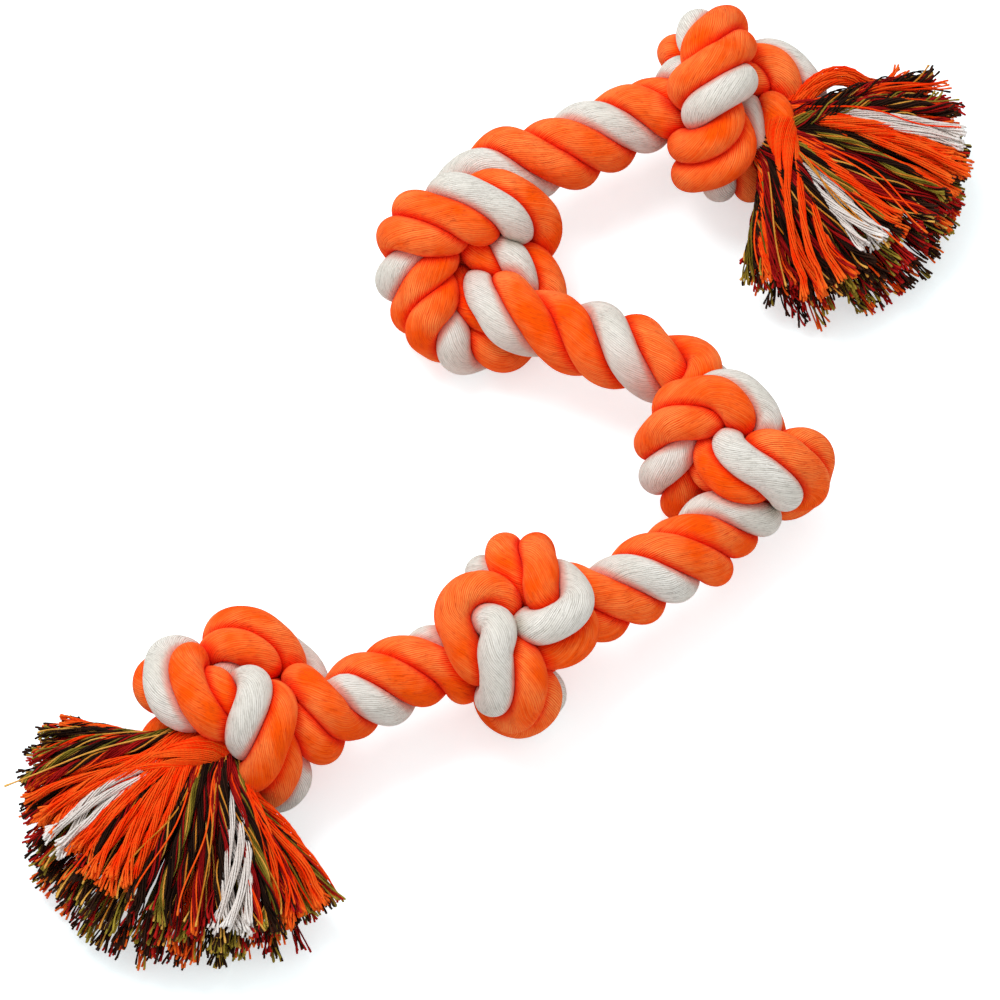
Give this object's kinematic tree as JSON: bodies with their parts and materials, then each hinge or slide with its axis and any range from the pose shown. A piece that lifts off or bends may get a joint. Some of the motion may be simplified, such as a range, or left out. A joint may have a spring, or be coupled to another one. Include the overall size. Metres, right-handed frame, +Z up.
{
  "type": "rope dog toy",
  "caption": "Tug toy of three-strand laid cotton rope, tied in a row of overhand knots, both ends combed out into tassels.",
  "frame": {"origin": "on the floor, under the middle of the toy's bounding box", "axes": "+Z up from the floor it lies on, +X to the right and +Y away from the viewer of the picture"},
  "size_m": [0.4956, 0.5462, 0.0968],
  "materials": {
    "orange_cotton": "matte soft cotton roving",
    "white_cotton": "matte soft cotton roving",
    "dark_core_yarn": "matte twisted yarns, black with red, olive and gold"
  },
  "bodies": {
    "knot_1": {"knot_1_strand_orange_a": "orange_cotton", "knot_1_strand_orange_b": "orange_cotton", "knot_1_strand_white": "white_cotton"},
    "knot_2": {"knot_2_strand_orange_a": "orange_cotton", "knot_2_strand_orange_b": "orange_cotton", "knot_2_strand_white": "white_cotton"},
    "knot_3": {"knot_3_strand_orange_a": "orange_cotton", "knot_3_strand_orange_b": "orange_cotton", "knot_3_strand_white": "white_cotton"},
    "knot_4": {"knot_4_strand_orange_a": "orange_cotton", "knot_4_strand_orange_b": "orange_cotton", "knot_4_strand_white": "white_cotton"},
    "knot_5": {"knot_5_strand_orange_a": "orange_cotton", "knot_5_strand_orange_b": "orange_cotton", "knot_5_strand_white": "white_cotton"},
    "stretch_1": {"stretch_1_strand_orange_a": "orange_cotton", "stretch_1_strand_orange_b": "orange_cotton", "stretch_1_strand_white": "white_cotton"},
    "stretch_2": {"stretch_2_strand_orange_a": "orange_cotton", "stretch_2_strand_orange_b": "orange_cotton", "stretch_2_strand_white": "white_cotton"},
    "stretch_3": {"stretch_3_strand_orange_a": "orange_cotton", "stretch_3_strand_orange_b": "orange_cotton", "stretch_3_strand_white": "white_cotton"},
    "stretch_4": {"stretch_4_strand_orange_a": "orange_cotton", "stretch_4_strand_orange_b": "orange_cotton", "stretch_4_strand_white": "white_cotton"},
    "tassel_1": {"tassel_1_lock_01": "dark_core_yarn", "tassel_1_lock_02": "dark_core_yarn", "tassel_1_lock_03": "dark_core_yarn", "tassel_1_lock_04": "orange_cotton", "tassel_1_lock_05": "dark_core_yarn", "tassel_1_lock_06": "dark_core_yarn", "tassel_1_lock_07": "dark_core_yarn", "tassel_1_lock_08": "orange_cotton", "tassel_1_lock_09": "dark_core_yarn", "tassel_1_lock_10": "orange_cotton", "tassel_1_lock_11": "orange_cotton", "tassel_1_lock_12": "dark_core_yarn", "tassel_1_lock_13": "orange_cotton", "tassel_1_lock_14": "white_cotton", "tassel_1_lock_15": "orange_cotton", "tassel_1_lock_16": "white_cotton"},
    "tassel_2": {"tassel_2_lock_01": "dark_core_yarn", "tassel_2_lock_02": "dark_core_yarn", "tassel_2_lock_03": "dark_core_yarn", "tassel_2_lock_04": "dark_core_yarn", "tassel_2_lock_05": "orange_cotton", "tassel_2_lock_06": "dark_core_yarn", "tassel_2_lock_07": "orange_cotton", "tassel_2_lock_08": "dark_core_yarn", "tassel_2_lock_09": "orange_cotton", "tassel_2_lock_10": "dark_core_yarn", "tassel_2_lock_11": "dark_core_yarn", "tassel_2_lock_12": "white_cotton", "tassel_2_lock_13": "orange_cotton", "tassel_2_lock_14": "orange_cotton", "tassel_2_lock_15": "white_cotton", "tassel_2_lock_16": "orange_cotton"}
  },
  "joints": [
    {"name": "swing_2_from_knot_3", "type": "hinge", "parent": "knot_3", "child": "stretch_2", "pos_m": [0.08503, -0.05455, 0.047], "axis": [0, 0, 1], "range_deg": [-25, 25]},
    {"name": "lift_knot_2", "type": "hinge", "parent": "stretch_2", "child": "knot_2", "pos_m": [0.07046, -0.06513, 0.047], "axis": [-0.5878, 0.809, 0], "range_deg": [-25, 25]},
    {"name": "swing_1_from_knot_2", "type": "hinge", "parent": "knot_2", "child": "stretch_1", "pos_m": [-0.04938, -0.11948, 0.047], "axis": [0, 0, 1], "range_deg": [-25, 25]},
    {"name": "lift_knot_1", "type": "hinge", "parent": "stretch_1", "child": "knot_1", "pos_m": [-0.06513, -0.12821, 0.047], "axis": [-0.4848, 0.8746, 0], "range_deg": [-25, 25]},
    {"name": "lift_tassel_1", "type": "hinge", "parent": "knot_1", "child": "tassel_1", "pos_m": [-0.15625, -0.18188, 0.047], "axis": [-0.866, 0.5, 0], "range_deg": [-5, 60]},
    {"name": "swing_3_from_knot_3", "type": "hinge", "parent": "knot_3", "child": "stretch_3", "pos_m": [0.0642, 0.07308, 0.047], "axis": [0, 0, 1], "range_deg": [-25, 25]},
    {"name": "lift_knot_4", "type": "hinge", "parent": "stretch_3", "child": "knot_4", "pos_m": [0.04729, 0.07923, 0.047], "axis": [0.342, 0.9397, 0], "range_deg": [-25, 25]},
    {"name": "swing_4_from_knot_4", "type": "hinge", "parent": "knot_4", "child": "stretch_4", "pos_m": [0.0358, 0.19293, 0.047], "axis": [0, 0, 1], "range_deg": [-10, 25]},
    {"name": "lift_knot_5", "type": "hinge", "parent": "stretch_4", "child": "knot_5", "pos_m": [0.05169, 0.20138, 0.047], "axis": [0.4695, -0.8829, 0], "range_deg": [-25, 25]},
    {"name": "lift_tassel_2", "type": "hinge", "parent": "knot_5", "child": "tassel_2", "pos_m": [0.16434, 0.19133, 0.047], "axis": [-0.5736, -0.8192, 0], "range_deg": [-5, 60]}
  ]
}
